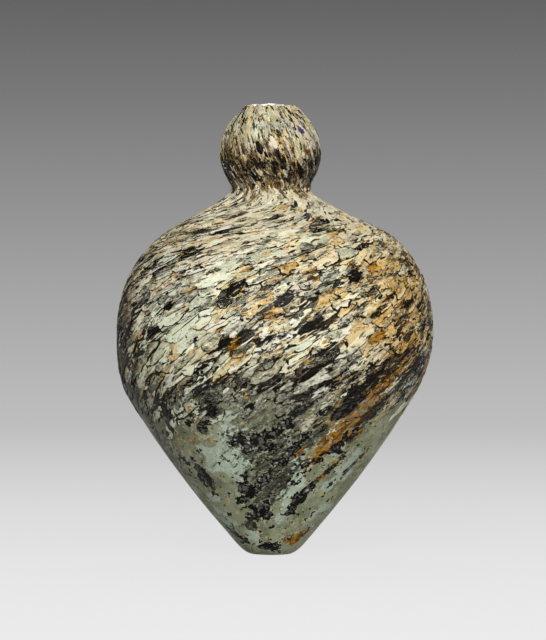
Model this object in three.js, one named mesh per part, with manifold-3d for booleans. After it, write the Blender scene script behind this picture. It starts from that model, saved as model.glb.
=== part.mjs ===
// A sphero-conical glass flask: one thick blown wall with a swollen mouth, and the largest of the
// coloured glass chips that were rolled into its skin while it was hot. Millimetres, +Z up, with the
// origin at the centre of the small flat foot and -Y towards the viewer.
import * as THREE from "three";
import { mergeVertices } from "three/addons/utils/BufferGeometryUtils.js";
import Module from "manifold-3d";

const wasm = await Module();
wasm.setup();

// Outline of the blown wall, from the foot up. A rise is measured from the place named before it, and
// a lean is the outline's angle from the vertical in degrees, positive where it spreads as it climbs.
const FOOT_RADIUS = 4.6;
const TIP_RADIUS = 11.2;
const TIP_RISE = 4.4;
const TIP_LEAN = 41;
const CONE_TOP_RADIUS = 41.9;
const CONE_RISE = 41.2;
const CONE_TOP_LEAN = 32;
const BELLY_RADIUS = 47.5;
const BELLY_RISE = 21;
const SHOULDER_RADIUS = 34.8;
const SHOULDER_RISE = 28.9;
const SHOULDER_LEAN = -52;
const COLLAR_RADIUS = 20.2;
const COLLAR_RISE = 7.9;
const COLLAR_LEAN = -60;
const NECK_RADIUS = 11.55;
const NECK_RISE = 6.1;
const BULB_RADIUS = 15.2;
const BULB_RISE = 10.3;
const LIP_RADIUS = 7.4;
const LIP_RISE = 15.2;
const LIP_LEAN = -44;

// Climb of the stretched chips at those places: degrees above the horizontal, seen from outside. Past 90
// degrees they climb to the left.
const FOOT_CLIMB = 75;
const TIP_CLIMB = 68;
const CONE_TOP_CLIMB = 42;
const BELLY_CLIMB = 30;
const SHOULDER_CLIMB = 24;
const COLLAR_CLIMB = 45;
const NECK_CLIMB = 112;
const BULB_CLIMB = 112;
const LIP_CLIMB = 105;

// Glass thickness at those places, square to the surface, and the radius of the mouth.
const TIP_WALL = 8.5;
const CONE_WALL = 4.2;
const BELLY_WALL = 3.4;
const SHOULDER_WALL = 3.6;
const COLLAR_WALL = 4.4;
const NECK_WALL = 5.2;
const BULB_WALL = 4.4;
const MOUTH_RADIUS = 4.4;

// The belly was blown a little to one side of the line from foot to mouth, towards +X.
const BELLY_SWAY = 1.35;
const SHOULDER_SWAY = 1.8;
const COLLAR_SWAY = 0.5;

// Length and width of a common large chip, of which the table of chips gives each one's own as a share.
const CHIP_LENGTH = 10;
const CHIP_WIDTH = 2;

// How each chip lies in the wall: how deep and how far out of it, the gap to its pocket, and how far
// the cut for the pocket reaches out of the wall.
const CHIP_DEPTH = 1.1;
const CHIP_PROUD = 0.15;
const CHIP_GAP = 0.3;
const CHIP_END_WIDTH = 0.7;
const POCKET_OVERSHOOT = 1;

// The share of a stretch's length over which the outline keeps its lean: small at the sharp crease of
// the neck, and large round the full bulb.
const HANDLE = 0.36;
const NECK_HANDLE = 0.12;
const BULB_HANDLE = 0.44;

// How finely the curves are cut into flat faces.
const WALL_SEGMENTS = 48;
const OUTSIDE_STEPS = 4;
const INSIDE_STEPS = 2;
const CHIP_STEPS = 4;
const DEG = Math.PI / 180;

// The places along the outline, from the foot up.
const stations = [];
function station(name, radius, rise, lean, wall, sway, climb, handle = HANDLE) {
  const below = stations.at(-1);
  stations.push({ name, radius, height: (below ? below.height : 0) + rise, lean, wall, sway, climb, handle });
}
station("foot", FOOT_RADIUS, 0, 90, TIP_WALL, 0, FOOT_CLIMB);
station("tip", TIP_RADIUS, TIP_RISE, TIP_LEAN, TIP_WALL, 0, TIP_CLIMB);
station("cone_top", CONE_TOP_RADIUS, CONE_RISE, CONE_TOP_LEAN, CONE_WALL, 0, CONE_TOP_CLIMB);
station("belly", BELLY_RADIUS, BELLY_RISE, 0, BELLY_WALL, BELLY_SWAY, BELLY_CLIMB);
station(
  "shoulder", SHOULDER_RADIUS, SHOULDER_RISE, SHOULDER_LEAN, SHOULDER_WALL, SHOULDER_SWAY, SHOULDER_CLIMB
);
station("collar", COLLAR_RADIUS, COLLAR_RISE, COLLAR_LEAN, COLLAR_WALL, COLLAR_SWAY, COLLAR_CLIMB);
station("neck", NECK_RADIUS, NECK_RISE, 0, NECK_WALL, 0, NECK_CLIMB, NECK_HANDLE);
station("bulb", BULB_RADIUS, BULB_RISE, 0, BULB_WALL, 0, BULB_CLIMB, BULB_HANDLE);
station("lip", LIP_RADIUS, LIP_RISE, LIP_LEAN, LIP_RADIUS - MOUTH_RADIUS, 0, LIP_CLIMB);
const foot = stations[0];
const lip = stations.at(-1);

// A smooth stretch of outline between two places, each a point with a lean and a handle.
function stretch(a, b) {
  const chord = a.point.distanceTo(b.point);
  const along = (end) => {
    const lean = end.lean * DEG;
    return new THREE.Vector2(Math.sin(lean), Math.cos(lean)).multiplyScalar(end.handle * chord);
  };
  const leaving = a.point.clone().add(along(a));
  const arriving = b.point.clone().sub(along(b));
  return new THREE.CubicBezierCurve(a.point, leaving, arriving, b.point);
}

// The outline's stretches for points made from the stations by one rule.
function outline(pointOf) {
  const ends = stations.map((s) => ({ ...s, point: pointOf(s) }));
  return ends.slice(1).map((end, i) => stretch(ends[i], end));
}

const outside = outline((s) => new THREE.Vector2(s.radius, s.height));
const inside = outline((s) => {
  if (s === foot) return new THREE.Vector2(0, s.wall);
  if (s === lip) return new THREE.Vector2(MOUTH_RADIUS, s.height);
  const lean = s.lean * DEG;
  return new THREE.Vector2(s.radius - s.wall * Math.cos(lean), s.height + s.wall * Math.sin(lean));
});
const pointsOf = (stretches, steps) => stretches.flatMap((c, i) => c.getPoints(steps).slice(i ? 1 : 0));

// A value that the stations give, eased between them by height.
function eased(key, height) {
  const i = Math.max(1, stations.findIndex((s) => s.height >= height));
  const above = height > lip.height ? lip : stations[i];
  const below = height > lip.height ? lip : stations[i - 1];
  const share = THREE.MathUtils.smoothstep(height, below.height, above.height);
  return THREE.MathUtils.lerp(below[key], above[key], share);
}

// A closed geometry with shared vertices as a solid, without the triangles that have no area.
function solidOf(geometry) {
  geometry.deleteAttribute("normal");
  geometry.deleteAttribute("uv");
  const merged = mergeVertices(geometry, 1e-4);
  const corners = merged.index.array;
  const triVerts = [];
  for (let i = 0; i < corners.length; i += 3) {
    const [a, b, c] = corners.subarray(i, i + 3);
    if (a !== b && b !== c && c !== a) triVerts.push(a, b, c);
  }
  const vertProperties = merged.attributes.position.array;
  const mesh = new wasm.Mesh({ numProp: 3, vertProperties, triVerts: new Uint32Array(triVerts) });
  return new wasm.Manifold(mesh);
}

function geometryOf(solid) {
  const mesh = solid.getMesh();
  const geometry = new THREE.BufferGeometry();
  geometry.setAttribute("position", new THREE.BufferAttribute(mesh.vertProperties, 3));
  geometry.setIndex(new THREE.BufferAttribute(mesh.triVerts, 1));
  geometry.computeVertexNormals();
  return geometry;
}

// The blown wall: its outside and inside outlines turned into one open shell, then swayed.
function blownWall() {
  const up = pointsOf(outside, OUTSIDE_STEPS);
  const down = pointsOf(inside, INSIDE_STEPS).reverse();
  const profile = [new THREE.Vector2(0, 0), ...up, ...down];
  const geometry = new THREE.LatheGeometry(profile, WALL_SEGMENTS).rotateX(Math.PI / 2);
  const position = geometry.attributes.position;
  for (let i = 0; i < position.count; i++) {
    position.setX(i, position.getX(i) + eased("sway", position.getZ(i)));
  }
  return solidOf(geometry);
}

// A point in the wall: azimuth in degrees from the front towards +X, arc along one stretch of the
// outside outline or past its ends, and depth under the skin.
const arcs = outside.map((c) => c.getLength());
function inWall(azimuth, section, arc, depth) {
  let i = section;
  let left = arc;
  while (left < 0 && i > 0) left += arcs[--i];
  while (left > arcs[i] && i < arcs.length - 1) left -= arcs[i++];
  const share = THREE.MathUtils.clamp(left / arcs[i], 0, 1);
  const at = outside[i].getPointAt(share);
  const along = outside[i].getTangentAt(share);
  const radius = at.x - depth * along.y;
  const height = at.y + depth * along.x;
  const turn = azimuth * DEG;
  const point = new THREE.Vector3(radius * Math.sin(turn), -radius * Math.cos(turn), height);
  point.x += eased("sway", height);
  return { point, radius: at.x, height: at.y };
}

// A chip's solid: a pointed strip that follows the wall, or its pocket when it is grown by the gap.
// Its four edges run from end to end, and each cross-section has a point on each of them.
function chipSolid(chip, grow, proud) {
  const section = stations.findIndex((s) => s.name === chip.section);
  const middle = chip.share * arcs[section];
  const centre = inWall(chip.azimuth, section, middle, 0);
  const climb = (eased("climb", centre.height) + chip.turn) * DEG;
  const deep = CHIP_DEPTH + grow;
  const vertices = [];
  for (let i = 0; i <= CHIP_STEPS; i++) {
    const way = (2 * i) / CHIP_STEPS - 1;
    const along = way * (chip.length / 2 + grow);
    const full = (chip.width - CHIP_END_WIDTH) * Math.sqrt(1 - way * way) + CHIP_END_WIDTH;
    for (const [side, depth] of [[1, -proud], [-1, -proud], [-1, deep], [1, deep]]) {
      const across = side * (full / 2 + grow);
      const round = along * Math.cos(climb) - across * Math.sin(climb);
      const arc = middle + along * Math.sin(climb) + across * Math.cos(climb);
      const { radius } = inWall(chip.azimuth, section, arc, 0);
      vertices.push(...inWall(chip.azimuth + round / radius / DEG, section, arc, depth).point.toArray());
    }
  }
  const index = [];
  const quad = (a, b, c, d) => index.push(a, b, c, a, c, d);
  for (let i = 0; i < CHIP_STEPS; i++) {
    for (let edge = 0; edge < 4; edge++) {
      const next = (edge + 1) % 4;
      quad(4 * i + edge, 4 * i + next, 4 * i + 4 + next, 4 * i + 4 + edge);
    }
  }
  const end = 4 * CHIP_STEPS;
  quad(3, 2, 1, 0);
  quad(end, end + 1, end + 2, end + 3);
  const geometry = new THREE.BufferGeometry();
  geometry.setAttribute("position", new THREE.Float32BufferAttribute(vertices, 3));
  geometry.setIndex(index);
  return solidOf(geometry);
}

// The largest chips of each colour. Each line: the stretch it lies on, by the place at that stretch's
// lower end, its share of the way up it, azimuth in degrees, length and width as shares of a common
// chip's, and its turn away from the climb of the streaks around it.
const chips = {
  dark: [
    ["foot", 0.78, -1, 0.75, 1, -66],
    ["tip", 0.07, -57, 0.6, 0.95, 62],
    ["tip", 0.24, -8, 0.54, 1.9, -30],
    ["tip", 0.34, 25, 0.7, 1.4, 0],
    ["tip", 0.38, -14, 0.8, 1.1, -6],
    ["tip", 0.48, -44, 0.9, 1.6, 34],
    ["tip", 0.78, -15, 0.5, 1.5, 0],
    ["tip", 0.85, -32, 0.5, 1.7, 20],
    ["tip", 0.99, 34, 1.3, 2, 0],
    ["tip", 0.98, -25, 0.7, 1.6, 0],
    ["cone_top", 0.33, 38, 1.4, 1.5, 0],
    ["belly", 0.07, 13, 0.9, 1.2, 0],
    ["belly", 0.06, -66, 0.8, 1.8, 10],
    ["belly", 0.25, -41, 0.5, 1.2, 0],
    ["belly", 0.31, 4, 0.8, 1.5, 0],
    ["belly", 0.39, -15, 0.6, 1.5, 6],
    ["belly", 0.38, 37, 0.8, 1.1, 0],
    ["belly", 0.53, 32, 0.6, 1.6, 0],
    ["belly", 0.77, -37, 0.9, 0.9, 0],
    ["belly", 0.84, 39, 0.55, 1.1, 0],
    ["shoulder", 0.12, -26, 1, 0.95, 0],
    ["shoulder", 0.5, 33, 0.6, 1, 0],
    ["collar", 0.25, 22, 0.5, 0.85, 0],
    ["neck", 0.5, 40, 0.5, 0.9, 0],
    ["bulb", 0.1, -13, 0.4, 0.9, 0],
    ["tip", 0.62, 140, 1, 2, 0],
    ["tip", 0.4, -140, 0.8, 1.5, 0],
    ["cone_top", 0.5, 172, 1.3, 1.6, 0],
    ["belly", 0.3, -120, 0.8, 1.4, 0],
    ["belly", 0.66, 112, 0.9, 1.2, 0],
    ["shoulder", 0.3, 190, 0.7, 1, 0],
  ],
  amber: [
    ["tip", 0.03, 42, 0.6, 1.3, -20],
    ["tip", 0.79, 44, 0.7, 1.5, 0],
    ["tip", 0.95, 48, 1.3, 1.5, 0],
    ["cone_top", 0.95, 39, 0.7, 1.3, 0],
    ["belly", 0.62, 41, 0.6, 1.2, 0],
    ["cone_top", 0.85, -14, 0.5, 1.3, 0],
    ["belly", 0.1, 128, 1.1, 1.5, 0],
    ["cone_top", 0.1, -155, 0.9, 1.4, 0],
  ],
  mint: [
    ["tip", 0.28, 13, 0.8, 1.5, 30],
    ["tip", 0.54, -20, 0.6, 1.9, 10],
    ["cone_top", 0.97, -38, 0.6, 1.7, 0],
    ["belly", 0.52, 21, 0.7, 2, 0],
    ["belly", 0.93, 15, 0.65, 1.1, 0],
    ["bulb", 0.52, -11, 0.44, 0.95, 0],
    ["belly", 0.45, 158, 0.8, 1.8, 0],
  ],
  smoke: [
    ["tip", 0.46, 6, 0.8, 2.5, 0],
    ["tip", 0.13, -22, 0.46, 1.9, 0],
    ["tip", 0.81, 24, 0.56, 1.9, 0],
    ["belly", 0.57, -49, 0.7, 1.1, 0],
  ],
  amethyst: [["bulb", 0.42, 40, 0.32, 1, -8]],
};

// The finishes, as the weathered glass shows them.
const finishes = {
  wall: new THREE.MeshStandardMaterial({ color: "#a9ab93", roughness: 0.5, metalness: 0 }),
  dark: new THREE.MeshStandardMaterial({ color: "#211f20", roughness: 0.3, metalness: 0 }),
  amber: new THREE.MeshStandardMaterial({ color: "#a5702c", roughness: 0.4, metalness: 0 }),
  mint: new THREE.MeshStandardMaterial({ color: "#b4c4b2", roughness: 0.45, metalness: 0 }),
  smoke: new THREE.MeshStandardMaterial({ color: "#66665f", roughness: 0.35, metalness: 0 }),
  amethyst: new THREE.MeshStandardMaterial({ color: "#4a3560", roughness: 0.25, metalness: 0 }),
};

const flask = new THREE.Group();
function add(name, solid, finish) {
  const mesh = new THREE.Mesh(geometryOf(solid), finish);
  mesh.name = name;
  flask.add(mesh);
}

let wall = blownWall();
for (const [colour, rows] of Object.entries(chips)) {
  rows.forEach(([section, share, azimuth, longer, wider, turn], i) => {
    const chip = { section, share, azimuth, length: longer * CHIP_LENGTH, width: wider * CHIP_WIDTH, turn };
    wall = wall.subtract(chipSolid(chip, CHIP_GAP, POCKET_OVERSHOOT));
    const number = String(i + 1).padStart(2, "0");
    add(`${colour}_chip_${number}`, chipSolid(chip, 0, CHIP_PROUD), finishes[colour]);
  });
}
add("blown_wall", wall, finishes.wall);

export default flask;
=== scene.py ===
import bpy
import numpy as np
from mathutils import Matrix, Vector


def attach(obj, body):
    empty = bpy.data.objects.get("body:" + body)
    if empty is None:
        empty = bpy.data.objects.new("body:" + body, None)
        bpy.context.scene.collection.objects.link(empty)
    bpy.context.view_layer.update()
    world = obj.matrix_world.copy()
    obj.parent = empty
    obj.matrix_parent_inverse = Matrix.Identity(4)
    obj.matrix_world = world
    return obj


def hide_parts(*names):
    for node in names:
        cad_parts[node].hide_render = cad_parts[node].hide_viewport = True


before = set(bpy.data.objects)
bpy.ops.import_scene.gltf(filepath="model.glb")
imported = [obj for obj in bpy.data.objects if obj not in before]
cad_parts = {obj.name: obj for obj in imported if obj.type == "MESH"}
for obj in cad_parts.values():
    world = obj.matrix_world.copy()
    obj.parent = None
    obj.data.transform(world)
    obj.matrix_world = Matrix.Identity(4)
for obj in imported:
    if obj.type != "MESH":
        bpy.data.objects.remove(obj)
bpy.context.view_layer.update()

# The blown wall. One thick gather of glass, blown to a turnip shape with a pinched neck and a swollen
# mouth, and twisted as it was blown. Its outside was rolled in chips of coloured glass: they cover the
# body, neck and bulb, and lie flush in the smooth cone below, where the wall itself shows.
MM = 0.001
# Places along the outline, from the foot up, in millimetres and degrees. A lean is from the vertical and
# positive where the outline spreads as it climbs; a climb is that of the streaks above the horizontal. A
# handle is how far a curve holds to its lean, as a share of the chord, and a pace is how far a pattern
# moves on for each millimetre along the streaks.
STATIONS = np.array([
    # radius, height, lean, wall, sway, climb, handle, pace
    (4.6, 0.0, 90, 8.5, 0, 75, 0.36, 0.3),
    (11.2, 4.4, 41, 8.5, 0, 68, 0.36, 0.3),
    (41.9, 45.6, 32, 4.2, 0, 42, 0.36, 0.3),
    (47.5, 66.6, 0, 3.4, 1.35, 30, 0.36, 0.3),
    (34.8, 95.5, -52, 3.6, 1.8, 24, 0.36, 0.28),
    (20.2, 103.4, -60, 4.4, 0.5, 45, 0.36, 0.24),
    (11.55, 109.5, 0, 5.2, 0, 112, 0.12, 0.18),
    (15.2, 119.8, 0, 4.4, 0, 112, 0.44, 0.16),
    (7.4, 135.0, -44, 3.0, 0, 105, 0.36, 0.16),
])
RADIUS, HEIGHT, LEAN, WALL, SWAY, CLIMB, HANDLE, PACE = STATIONS.T
WAIST = HEIGHT[6]
TOP = HEIGHT[-1]
MOUTH_RADIUS = 4.4


def drawn(radii, heights, steps):
    """The outline through one point for each station. Each stretch is a cubic Bezier curve, whose two
    inner control points lie along the leans of its ends, at a share of the chord from them."""
    ends = np.stack([radii, heights], axis=1)
    lean = np.radians(LEAN)
    along = np.stack([np.sin(lean), np.cos(lean)], axis=1)
    chord = np.linalg.norm(np.diff(ends, axis=0), axis=1)[:, None]
    a, b = ends[:-1], ends[1:]
    c = a + along[:-1] * HANDLE[:-1, None] * chord
    d = b - along[1:] * HANDLE[1:, None] * chord
    t = np.linspace(0, 1, steps, endpoint=False)[:, None, None]
    curve = (1 - t) ** 3 * a + 3 * (1 - t) ** 2 * t * c + 3 * (1 - t) * t * t * d + t ** 3 * b
    return np.vstack([curve.transpose(1, 0, 2).reshape(-1, 2), ends[-1:]])


def eased(values, height):
    """A station's value at any height, eased from station to station by 3w^2 - 2w^3."""
    i = np.clip(np.searchsorted(HEIGHT, height), 1, len(HEIGHT) - 1)
    w = np.clip((height - HEIGHT[i - 1]) / (HEIGHT[i] - HEIGHT[i - 1]), 0, 1)
    return values[i - 1] + (values[i] - values[i - 1]) * w * w * (3 - 2 * w)


def running(steps):
    """The running total of some steps, from 0."""
    return np.concatenate([[0], np.cumsum(steps)])


# The outside outline at close steps: how far out and up it is, its arc length from the foot, its
# direction, the climb of the streaks, how far they turn round the flask up to there, how long they are
# up to there, and how far a pattern has moved on along them.
OUTLINE = drawn(RADIUS, HEIGHT, 300)
OUT, UP = OUTLINE.T
ARC = running(np.linalg.norm(np.diff(OUTLINE, axis=0), axis=1))
ALONG = np.gradient(OUTLINE, ARC, axis=0)
SLOPE = np.radians(eased(CLIMB, UP))
TURN = running(np.diff(ARC) / np.tan(SLOPE[1:]) / OUT[1:])
LENGTH = running(np.diff(ARC) / np.sin(SLOPE[1:]))
DRAWN = running(np.diff(LENGTH) * eased(PACE, UP)[1:])
TOP_ARC = ARC[-1]


def around(radius, turn, height):
    """The point at a radius, an angle from the front towards +X and a height, off the swaying axis."""
    radius, turn, height = np.broadcast_arrays(radius, turn, height)
    across = radius * np.sin(turn) + eased(SWAY, height)
    return np.stack([across, -radius * np.cos(turn), height], axis=-1)


def on_wall(turn, arc, lift):
    """The point at an angle, an arc up the outline, and a lift off the outline along its normal."""
    radius = np.interp(arc, ARC, OUT) + lift * np.interp(arc, ARC, ALONG[:, 1])
    height = np.interp(arc, ARC, UP) - lift * np.interp(arc, ARC, ALONG[:, 0])
    return around(radius, turn, height)


FLOW_SPREAD = 1.26


def flow(turn, arc):
    """Coordinates in which the streaks run along the third axis: round a drum by the angle less the twist
    up to there, and up it by a small share of the streak's length. The drum is wide where the streaks
    lie far apart, so that one step across them is as many millimetres everywhere."""
    start = turn - np.interp(arc, ARC, TURN)
    drum = FLOW_SPREAD * np.interp(arc, ARC, OUT * np.sin(SLOPE))
    up = np.interp(arc, ARC, DRAWN)
    return np.stack([drum * np.cos(start), drum * np.sin(start), up], axis=-1)


def cloud(points, size, seed):
    """Smooth noise from -1 to 1. Each corner of a lattice with that spacing has a fixed random value, a
    mix of its whole coordinates, and a point takes the eased mean of the eight corners round it."""
    at = points / size
    low = np.floor(at).astype(np.int64)
    w = at - low
    w = w * w * (3 - 2 * w)
    total = 0
    for corner in np.ndindex(2, 2, 2):
        cell = (low + corner).astype(np.uint64)
        mixed = cell[..., 0] * np.uint64(73856093) ^ cell[..., 1] * np.uint64(19349663)
        mixed = mixed ^ cell[..., 2] * np.uint64(83492791) ^ np.uint64(seed * 2654435761)
        mixed = (mixed ^ (mixed >> np.uint64(15))) * np.uint64(0x2C1B3C6D)
        mixed = (mixed ^ (mixed >> np.uint64(13))) & np.uint64(0xFFFFFF)
        share = np.prod(np.where(corner, w, 1 - w), axis=-1)
        total = total + share * (mixed / float(0xFFFFFF) * 2 - 1)
    return total


def smooth(low, high, value):
    """0 below low, 1 above high, and eased between them."""
    w = np.clip((value - low) / (high - low), 0, 1)
    return w * w * (3 - 2 * w)


def put(name, data):
    """A new object in the scene that holds the data."""
    made = bpy.data.objects.new(name, data)
    bpy.context.scene.collection.objects.link(made)
    return made


SHARP_ABOVE = np.radians(38)


def piece(name, points, quads, triangles, material, attributes):
    """A mesh of quads and triangles that share its points, which are in millimetres, with one value or
    vector for each point in each attribute. It rides on the flask's only body."""
    mesh = bpy.data.meshes.new(name)
    mesh.vertices.add(len(points))
    mesh.vertices.foreach_set("co", (points * MM).astype(np.float32).ravel())
    corners = np.concatenate([quads.ravel(), triangles.ravel()]).astype(np.int32)
    sizes = np.repeat([4, 3], [len(quads), len(triangles)])
    mesh.loops.add(len(corners))
    mesh.loops.foreach_set("vertex_index", corners)
    mesh.polygons.add(len(sizes))
    mesh.polygons.foreach_set("loop_start", (np.cumsum(sizes) - sizes).astype(np.int32))
    mesh.update(calc_edges=True)
    mesh.set_sharp_from_angle(angle=SHARP_ABOVE)
    for key, values in attributes.items():
        kind, field = ("FLOAT", "value") if values.ndim == 1 else ("FLOAT_VECTOR", "vector")
        layer = mesh.attributes.new(key, kind, "POINT")
        layer.data.foreach_set(field, values.astype(np.float32).ravel())
    mesh.materials.append(material)
    made = put(name, mesh)
    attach(made, "root")
    return made


def ring_quads(rows, columns):
    """The quads between rows of points that each close into a ring, wound to face outwards where the
    columns run anticlockwise from above as the rows climb."""
    row, column = np.meshgrid(np.arange(rows - 1), np.arange(columns), indexing="ij")
    here = row * columns + column
    beside = row * columns + (column + 1) % columns
    return np.stack([here, beside, beside + columns, here + columns], axis=-1).reshape(-1, 4)


def fan(centre, ring, outwards):
    """The triangles from one point to a ring of points."""
    after = np.roll(ring, -1)
    order = (ring, after) if outwards else (after, ring)
    return np.stack([np.full(len(ring), centre), *order], axis=-1)


# Where the chips stop and the cone's own smooth skin shows, and how far the wall lies under them above.
BARE_BELOW = 34
CHIPS_ABOVE = 55
BED_DEPTH = 0.42


def bareness(points):
    """1 where the wall shows and 0 where chips cover it, with a ragged edge between them."""
    edge = points[..., 2] + 8 * cloud(points, 16, 3) + 4 * cloud(points, 5, 4)
    return 1 - smooth(BARE_BELOW, CHIPS_ABOVE, edge)


def from_front(turn):
    """An angle round the flask, brought between half a turn back and half a turn on."""
    return np.remainder(turn + np.pi, 2 * np.pi) - np.pi


def ellipse(turn, up, radius, length, width, climb):
    """Where a place lies in an ellipse on the wall with its long side along its own climb: the square of
    its way out, which is 0 in the middle and 1 on the edge."""
    across = from_front(turn) * radius
    c, s = np.cos(climb), np.sin(climb)
    return ((across * c + up * s) / length) ** 2 + ((up * c - across * s) / width) ** 2


def spots(turn, height, rows):
    """The sum of soft spots. Each row: degrees round, height, length, width, climb and strength."""
    total = np.zeros_like(turn)
    for round_at, up_at, length, width, climb, strength in rows:
        radius = np.interp(up_at, UP, OUT)
        off = ellipse(turn - np.radians(round_at), height - up_at, radius, length, width, np.radians(climb))
        total = total + strength * np.exp(-off)
    return total


def all_round(height, width, strength, length=60):
    """Three long spots that join in a band round the flask."""
    return [(turn, height, length, width, 0, strength) for turn in (0, 120, -120)]


# The colours that run through skin and chips alike, with the soft spots where each gathers or, below 0,
# stays away. Each row: degrees round from the front, height, length, width, climb and strength. On the
# edges and under the bulb, some of the black and umber is painted shade.
BLACK_SPOTS = [
    (-52, 85, 5, 1.2, 35, 0.7), (-60, 88, 4, 1.2, 35, 0.5), (-41, 75, 4, 1.2, 30, 0.9),
    (-57, 62, 5, 2, 45, 0.8), (-59, 48.5, 3, 1.6, 50, 0.9), (-67, 48, 3, 1.6, 55, 0.8),
    (-24.5, 46.5, 4, 2, 40, 0.7), (-54, 71, 3, 1.2, 35, 0.7), (-64, 81, 5, 2, 50, 0.6),
    (57, 76, 6, 1.2, 45, 0.4), (49, 67, 6, 1.2, 42, 0.6), (62, 67, 8, 2, 60, 0.35),
    (52, 63, 8, 1.4, 45, 0.6), (47, 50, 18, 2.6, 46, -0.3), (60, 52, 12, 2, 50, 0.6),
    (32, 48, 14, 2.4, 42, 0.25), (54, 59, 9, 1.1, 44, 0.7), (63, 62, 9, 1.2, 52, 0.6),
    (45, 62, 7, 1, 42, 0.6), (-34, 57, 8, 5, 40, -0.3), *all_round(97, 7, -0.12),
    # The rows at -79 and -69 degrees on the left edge and those at 114.5 on the bulb's lower edges are
    # partly black glass and partly painted shade.
    (-79, 64, 20, 5, 80, 1.1), (-69, 58, 15, 6, 72, 0.4), (42, 92, 16, 7, 20, -0.2),
    (-78, 114.5, 5, 4, 60, 0.9), (76, 114.5, 5, 4.5, 110, 0.8), (-61, 96, 5, 2, 25, 0.3),
    (-42, 96, 5, 2, 25, 0.3), (-53, 89, 5, 1.6, 30, 0.3), (31, 98, 6, 1.4, -45, 0.25),
    (14, 104, 5, 1.8, -60, 1.0), (27, 103, 4, 0.9, -70, 0.3), (5, 101, 3, 1.2, 5, 0.6),
    (21, 96.5, 5, 1.4, 30, 0.8), (39, 92, 5, 1.4, 20, 0.6), (31, 84.5, 4, 2, 40, 0.7),
    (-2, 86.5, 6, 0.9, 35, 0.7), (14, 83.5, 4, 1.4, 30, 0.7), (-10, 52, 30, 3, 8, 0.35),
    (30, 52, 30, 5, 20, 0.1), (-14, 79.3, 4.4, 2.2, 32, 1.2), (7, 76, 4, 2.2, -35, 0.8),
    (-1, 65.6, 4, 1.6, 40, 1.0), (3, 65, 4.6, 1.2, 10, 0.9), (15, 68.5, 3.4, 1.2, 20, 0.7),
    (-17, 63.6, 5, 1.6, 15, 0.8), (17, 58.5, 8, 1.6, 42, 1.0), (26, 54, 8, 1.8, 40, 0.8),
    (37, 50.5, 8, 1.4, 40, 0.8), (33, 45, 11, 1.7, 40, 0.85), (22, 43, 6, 1.8, 40, 0.7),
    (41, 56, 8, 1.2, 40, 0.65), (-49, 67.6, 3, 1.4, 20, 0.8), (-67, 69, 6, 3, 60, 0.8),
    (-62, 57, 6, 2, 50, 0.5), (-30, 54, 8, 1.4, 35, 0.6), (-24, 51, 8, 1.6, 35, 0.7),
    (-50, 43.5, 4, 1.6, 60, 0.8), (-26, 43.5, 5, 2, 45, 0.6), (-40, 41, 2.4, 1.8, 50, 0.9),
    (-58, 37, 8, 5, 60, 0.5), (-73, 44, 12, 2, 62, 0.7), *all_round(115, 4, 0.14),
    *all_round(129, 5, -0.3), *all_round(106.5, 4, -0.5), (5, 40, 2.6, 1.8, 30, 0.9),
    (14, 46, 8, 1.4, 45, 0.8), (-10, 35.5, 4.4, 2.6, 20, 1.0), (-2, 34, 3.4, 2.4, 20, 0.9),
    (42, 38, 9, 1.6, 48, 1.2), (8, 30, 8, 1.6, 48, 0.6), (-46, 23, 4.6, 2, 100, 1.1),
    (-58, 27, 3, 1, 110, 0.7), (-21, 19, 3.4, 1.6, 70, 1.0), (-8, 22, 6, 1.2, 48, 1.0),
    (-11, 13.6, 4.4, 2, 20, 1.0), (18, 26, 4, 2, 60, 1.1), (22, 17.6, 4.4, 1.8, 60, 1.1),
    (34, 24, 8, 1.0, 50, 0.8), (46, 22, 4, 0.9, 55, 0.8), (55, 27, 5, 0.9, 55, 0.8),
    (-52, 7, 4, 1, -50, 1.0), (0, 3.4, 3.5, 1.2, 5, 1.0), (68, 52, 12, 3, 55, 0.8),
    (72, 66, 16, 5, 70, 0.15), (60, 84, 10, 2, 40, 0.3), (-34, 71, 9, 7, 40, -0.5),
    (-20, 90, 12, 4, 20, -0.2), (10, 90, 14, 6, 20, -0.3),
]
SMOKE_SPOTS = [
    *all_round(106.5, 4, -0.4), (-50, 85, 6, 3, 25, 0.9), (-8, 83, 8, 2.6, 30, 0.5),
    (4, 86, 10, 2, 35, 0.5), (12, 79, 8, 3, 30, 0.4), (-12, 66, 6, 4, 60, 0.7), (30, 60, 6, 3, 35, 0.7),
    (26, 66, 8, 3, 35, 0.3), (31, 84.4, 4, 2.4, 40, 0.6), (-40, 76, 10, 6, 30, 0.4),
    (-36, 49, 9, 2.6, 30, 0.7), (0, 44, 16, 7, 30, 0.9), (10, 38, 14, 6, 50, 0.9), (4, 29, 9, 6, 70, 1.2),
    (-4, 18, 5, 3.4, 60, 1.0), (-66, 38, 16, 5, 62, 0.9), (-76, 52, 16, 6, 70, 0.8),
    (66, 60, 14, 6, 50, 0.5), (0, 52, 40, 6, 4, 0.6), (38, 44, 14, 4, 40, 0.6), (-14, 34, 6, 4, 60, 0.4),
]
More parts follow.
